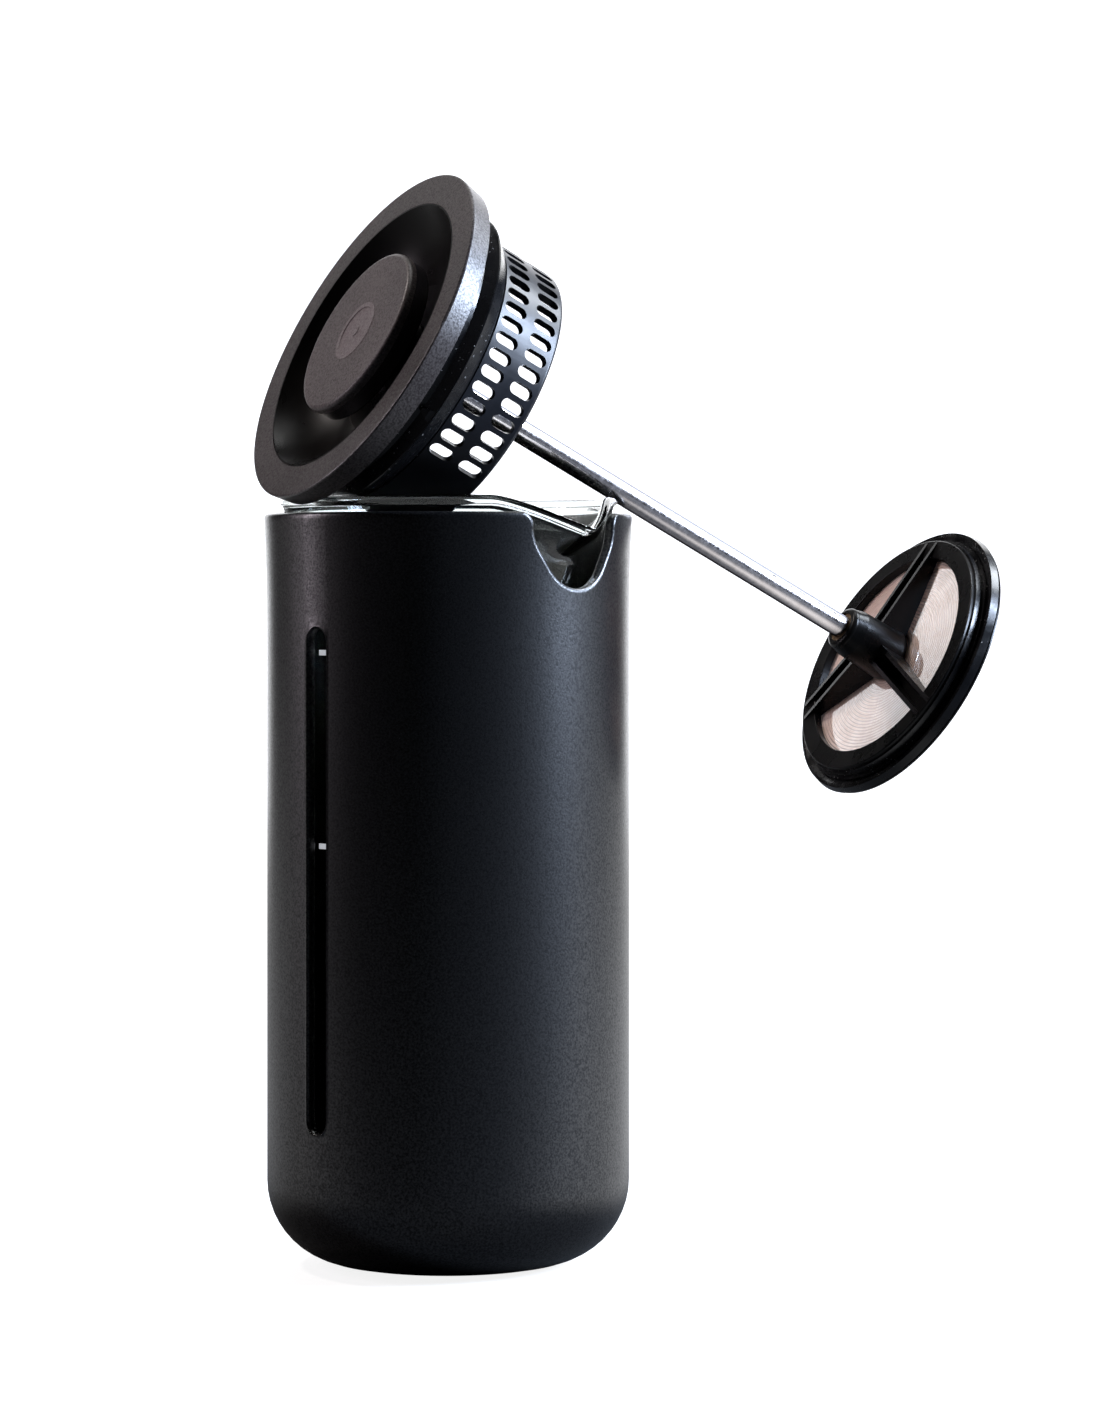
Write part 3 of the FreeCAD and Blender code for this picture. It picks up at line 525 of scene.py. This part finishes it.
def glass_profile():
    """Radius and height from near the outer bottom's centre, over the rim and down to the inner bottom."""
    outer_r = GLASS_R + GLASS_WALL
    bead_r, bead_z = GLASS_R + GLASS_WALL / 2 + RIM_FLARE, GLASS_TOP - BEAD_R
    inner_floor = GLASS_BASE + GLASS_FLOOR
    bend = np.linspace(-QUARTER, 0, ARC_POINTS)
    flared = np.linspace(GLASS_TOP - RIM_FLARE_H, bead_z - BEAD_CLEAR, FLARE_ROWS)
    points = [(GLASS_FLOOR_RING, GLASS_BASE)]
    points += bottom_bend(outer_r, GLASS_BEND, GLASS_BASE, bend)
    points += [(outer_r, z) for z in GLASS_ROWS]
    points += [(outer_r + rim_flare(z), z) for z in flared]
    points += [(bead_r + BEAD_R * math.cos(a), bead_z + BEAD_R * math.sin(a))
               for a in np.linspace(BEAD_FROM, BEAD_TO, BEAD_POINTS)]
    points += [(GLASS_R + rim_flare(z), z) for z in flared[::-1]]
    points += [(GLASS_R, z) for z in GLASS_ROWS[::-1]]
    points += bottom_bend(GLASS_R, GLASS_BEND - GLASS_WALL, inner_floor, bend[::-1])
    return points + [(GLASS_FLOOR_RING, inner_floor)]


def spout_push(radius, turn, height):
    """Moves points of the plain glass out and down into the pouring spout."""
    t = np.clip(np.sqrt(np.degrees(turn) ** 2 + 1.0) / SPOUT_DEG, 0, 1)
    dip = (GLASS_TOP - SPOUT_TIP_Z) * (1 - t) ** SPOUT_DIP_POWER * (1 + SPOUT_DIP_SWELL * t)
    rim = GLASS_TOP - dip
    squeezed = SQUEEZE_Z + (height - SQUEEZE_Z) * (rim - SQUEEZE_Z) / (GLASS_TOP - SQUEEZE_Z)
    height = np.where(height > SQUEEZE_Z, squeezed, height)
    rise = np.clip((height - SPOUT_ROOT_Z) / (rim - SPOUT_ROOT_Z), 0, 1)
    reach = SPOUT_OVERREACH * (SPOUT_TIP_R - GLASS_R - GLASS_WALL / 2 - RIM_FLARE - BEAD_R)
    return radius + reach * (1 - t) ** SPOUT_REACH_POWER * rise ** SPOUT_RISE_POWER, height


def glass_skin():
    skin = Skin()
    spans = ((-SPOUT_DEG, -TIP_DEG, SPOUT_STEP), (-TIP_DEG, TIP_DEG, TIP_STEP),
             (TIP_DEG, SPOUT_DEG, SPOUT_STEP), (SPOUT_DEG, 360 - SPOUT_DEG, PLAIN_DEG))
    turns = np.radians(np.concatenate([np.arange(*span) for span in spans]))
    signed = (turns + HALF) % FULL - HALF
    rings = []
    for radius, height in glass_profile():
        rings.append(skin.add(ring(*spout_push(radius, signed, height + 0 * turns), turns)))
    skin.fan(GLASS_BASE, rings[0], False)
    skin.bridge(rings, False)
    skin.fan(GLASS_BASE + GLASS_FLOOR, rings[-1], True)
    return skin


# ---- filter screen ---------------------------------------------------------------------------------------


def lid_frame():
    """The matrix that takes the upright lid frame to where the lid lies."""
    tilt = Matrix.Rotation(LID_DIP - QUARTER, 4, "Y")
    return Matrix.Translation(LID_AT) @ Matrix.Rotation(LID_HEADING, 4, "Z") @ tilt


def screen_skin():
    """The filter's screen: a thin disc pressed into fine concentric waves."""
    waved = np.arange(WAVES_IN, WAVES_OUT, WAVE_PITCH / WAVE_STEPS)
    radii = np.concatenate([[SCREEN_IN], waved, [SCREEN_FLAT, SCREEN_OUT]])
    in_waves = (radii > WAVES_IN) & (radii < WAVES_OUT)
    wave = np.where(in_waves, np.sin(FULL * (radii - WAVES_IN) / WAVE_PITCH) * WAVE, 0.0)
    middle = wave - SCREEN_DEPTH - SCREEN_T / 2
    half = SCREEN_T / 2 - WAVE
    outline = [*zip(radii, middle + half), *zip(radii[::-1], middle[::-1] - half)]
    turns = np.linspace(0, FULL, SCREEN_STEPS, endpoint=False)
    skin = Skin()
    rings = [skin.add(ring(radius, z, turns)) for radius, z in outline]
    skin.bridge([*rings, rings[0]], True)
    return skin


# ---- assembly --------------------------------------------------------------------------------------------


def new_piece(name, skin, shader, body, replaced, matrix=None):
    mesh = bpy.data.meshes.new(name)
    mesh.from_pydata([tuple(float(c) * MM for c in v) for v in skin.vertices], [], skin.faces)
    mesh.validate()
    for polygon in mesh.polygons:
        polygon.use_smooth = True
    obj = bpy.data.objects.new(name, mesh)
    bpy.context.scene.collection.objects.link(obj)
    mesh.materials.append(shader.mat)
    if matrix is not None:
        obj.matrix_world = matrix
    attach(obj, body)
    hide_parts(*replaced)
    return obj


jacket_piece = new_piece("jacket_shell", jacket_skin(), jacket_plastic(), "jacket_body",
                         ["jacket"])
jacket_piece.modifiers.new("even_normals", "WEIGHTED_NORMAL").weight = 70
new_piece("beaker", glass_skin(), clear_glass(), "beaker_body", ["glass_beaker"])
new_piece("filter_screen", screen_skin(), woven_screen(), "plunger_body",
          ["mesh_screen"], lid_frame())

rim_plastic = grained_plastic("rim_plastic", (0.024, 0.019, 0.018), (0.050, 0.041, 0.038), 0.36, 0.55)
cap_plastic = grained_plastic("cap_plastic", (0.052, 0.043, 0.042), (0.100, 0.085, 0.082), 0.42, 0.30)
badge_metal = grained_plastic("badge_metal", (0.12, 0.10, 0.10), (0.18, 0.155, 0.155), 0.42, 0.3)
# The lid's bowl and guide sleeve get a far darker base colour than the rim: painted shade for the lid's
# recess.
bowl_plastic = smooth_plastic("bowl_plastic", (0.0030, 0.0026, 0.0025), 0.30, 0.06, 0.07)
skirt_plastic = smooth_plastic("skirt_plastic", (0.0060, 0.0065, 0.0085), 0.34, 0.06, 0.26)
filter_plastic = smooth_plastic("filter_plastic", (0.0030, 0.0028, 0.0028), 0.28, 0.05, 0.13)
knob_black = smooth_plastic("knob_black", (0.004, 0.004, 0.005), 0.18, 0.03)
seal_silicone = silicone()
rod_steel = drawn_steel("rod_steel", (0.82, 0.76, 0.74), 0.20)
clip_steel = drawn_steel("clip_steel", (0.70, 0.69, 0.68), 0.28)
ring_brass = brass()
soft_rubber = rubber()
mark_white = printed_white()

PAINTS = {
    "base_foot": soft_rubber, "beaker_cushion": soft_rubber, "centring_ring": soft_rubber,
    "lower_level_mark": mark_white, "upper_level_mark": mark_white,
    "lid_cover": rim_plastic, "lid_bowl": bowl_plastic, "guide_sleeve": bowl_plastic,
    "strainer_skirt": skirt_plastic, "lid_seal": seal_silicone,
    "guide_bush": skirt_plastic, "bush_clip": clip_steel,
    "knob_cap": cap_plastic, "knob_badge": badge_metal, "knob_body": knob_black, "knob_insert": ring_brass,
    "plunger_rod": rod_steel, "filter_spider": filter_plastic, "hub_ring": ring_brass,
    "filter_seal": seal_silicone, "lower_plate": filter_plastic,
    "clamp_washer": clip_steel, "clamp_nut": clip_steel,
}
for node_name, node_shader in PAINTS.items():
    paint(node_name, node_shader)

# ---- stage, light and camera, in metres ------------------------------------------------------------------

VIEW = math.radians(44.0)
FORWARD = Vector((-math.sin(VIEW), math.cos(VIEW), 0.0))
RIGHT = Vector((math.cos(VIEW), math.sin(VIEW), 0.0))
UP = Vector((0.0, 0.0, 1.0))
WHITE = (1.0, 1.0, 1.0, 1.0)
DARK_ROOM = (0.004, 0.004, 0.0045, 1.0)
MIDDLE_UP = 0.13
FLOOR_HALF = 6.0
BACKDROP_HALF, BACKDROP_FAR, BACKDROP_TOP = 1.0, 1.9, 1.6
CAMERA_AT = (0.7604, -0.7518, 0.1645)
SENSOR_MM, LENS_MM, SHIFT_UP = 36.0, 111.2, -0.0878
CLIP_NEAR, CLIP_FAR = 0.05, 50.0

# Each light's name, place (right, forward, up), size (across, along), power in watts and colour.
LIGHTS = (
    ("left_strip", (-0.95, 0.10, 0.52), (0.10, 0.70), 4.5, (1.0, 0.88, 0.98)),
    ("right_box", (0.94, -0.16, 0.62), (0.20, 0.62), 45.0, (0.66, 0.78, 1.0)),
    ("upper_right", (0.75, 0.33, 1.05), (0.40, 0.40), 13.0, (0.86, 0.92, 1.0)),
    ("top_box", (0.1, 0.35, 1.3), (0.6, 0.5), 4.0, (1.0, 1.0, 1.0)),
    ("upper_left", (-0.6, 0.22, 1.05), (0.10, 0.10), 4.0, (1.0, 0.92, 0.88)),
)


def place(right, forward, up):
    """A point from its distances to the right of, behind and above the jar, as the camera sees it."""
    return RIGHT * right + FORWARD * forward + UP * up


def softbox(name, at, size, power, colour):
    """A soft light that faces the middle of the object."""
    light = bpy.data.lights.new(name, "AREA")
    light.shape = "RECTANGLE"
    light.size, light.size_y = size
    light.energy, light.color = power, colour
    obj = bpy.data.objects.new(name, light)
    bpy.context.scene.collection.objects.link(obj)
    obj.location = at
    obj.rotation_mode = "QUATERNION"
    obj.rotation_quaternion = (place(0.0, 0.0, MIDDLE_UP) - at).to_track_quat("-Z", "Y")


def flat_sheet(name, corners, shader):
    mesh = bpy.data.meshes.new(name)
    mesh.from_pydata([tuple(c) for c in corners], [], [(0, 1, 2, 3)])
    sheet = bpy.data.objects.new(name, mesh)
    bpy.context.scene.collection.objects.link(sheet)
    mesh.materials.append(shader.mat)


def floor_paper():
    """Pale paper that is bright to look at, and throws little light up at the object."""
    s = Shader("floor_white", Roughness=0.9, Specular_IOR_Level=0.0, Emission_Color=WHITE)
    path = s.node("LightPath").outputs
    seen = s.math("MAXIMUM", path["Is Camera Ray"], path["Is Transmission Ray"])
    mirrored = s.math("MULTIPLY", path["Is Glossy Ray"], s.math("SUBTRACT", 1.0, seen))
    pale = s.mix(s.noise(300.0, 3.0), (0.30, 0.30, 0.30), (0.33, 0.33, 0.33))
    s.set("Base Color", s.mix(seen, (0.06, 0.06, 0.06), pale))
    aside = s.along(RIGHT)
    to_right, to_left = s.remap(aside, 0.06, 0.12, 0.0, 0.9), s.remap(aside, -0.06, -0.16, 0.0, 0.35)
    beyond = s.remap(s.along(FORWARD), -0.16, -0.06, 0.0, 1.0)
    card = s.math("MULTIPLY", s.math("MAXIMUM", to_right, to_left), beyond)
    x, y, _ = s.xyz()
    white = s.remap(s.length(x, y), 0.25, 1.2, 0.86, 1.0)
    glow = s.math("ADD", s.math("MULTIPLY", seen, white), s.math("MULTIPLY", mirrored, card))
    s.set("Emission Strength", glow)
    return s


def backdrop_paper():
    """Lit paper: plain white to look at, and bright enough to edge the object with light."""
    s = Shader("backdrop_white", Roughness=0.9, Emission_Color=WHITE)
    lit = s.remap(s.noise(2.0, 1.0), 0.2, 0.8, 1.4, 1.6)
    path = s.node("LightPath").outputs
    bare = s.math("MULTIPLY", path["Is Camera Ray"], s.math("LESS_THAN", path["Transparent Depth"], 0.5))
    unseen = s.math("SUBTRACT", 1.0, s.math("MAXIMUM", bare, path["Is Transmission Ray"]))
    s.set("Emission Strength", s.math("ADD", 1.0, s.math("MULTIPLY", unseen, lit)))
    return s


def studio_world():
    """A dark room that looks white."""
    world = bpy.data.worlds.new("studio")
    bpy.context.scene.world = world
    world.use_nodes = True
    tree = world.node_tree
    path = tree.nodes.new("ShaderNodeLightPath")
    seen = tree.nodes.new("ShaderNodeMath")
    seen.operation = "MAXIMUM"
    tree.links.new(path.outputs["Is Camera Ray"], seen.inputs[0])
    tree.links.new(path.outputs["Is Transmission Ray"], seen.inputs[1])
    mix = tree.nodes.new("ShaderNodeMix")
    mix.data_type = "RGBA"
    tree.links.new(seen.outputs[0], mix.inputs[0])
    mix.inputs[6].default_value = DARK_ROOM
    mix.inputs[7].default_value = WHITE
    tree.links.new(mix.outputs[2], tree.nodes["Background"].inputs["Color"])


def shoot():
    camera = bpy.data.cameras.new("camera")
    camera.sensor_width, camera.lens, camera.shift_y = SENSOR_MM, LENS_MM, SHIFT_UP
    camera.clip_start, camera.clip_end = CLIP_NEAR, CLIP_FAR
    obj = bpy.data.objects.new("camera", camera)
    bpy.context.scene.collection.objects.link(obj)
    obj.location = CAMERA_AT
    obj.rotation_mode = "QUATERNION"
    obj.rotation_quaternion = FORWARD.to_track_quat("-Z", "Y")
    bpy.context.scene.camera = obj


bpy.context.scene.view_settings.view_transform = "Standard"
flat_sheet("floor", [(x * FLOOR_HALF, y * FLOOR_HALF, 0) for x, y in ((-1, -1), (1, -1), (1, 1), (-1, 1))],
           floor_paper())
flat_sheet("backdrop", [place(x * BACKDROP_HALF, BACKDROP_FAR, z * BACKDROP_TOP)
                        for x, z in ((-1, 0), (1, 0), (1, 1), (-1, 1))], backdrop_paper())
studio_world()
for light_name, light_at, light_size, watts, light_colour in LIGHTS:
    softbox(light_name, place(*light_at), light_size, watts, light_colour)
shoot()
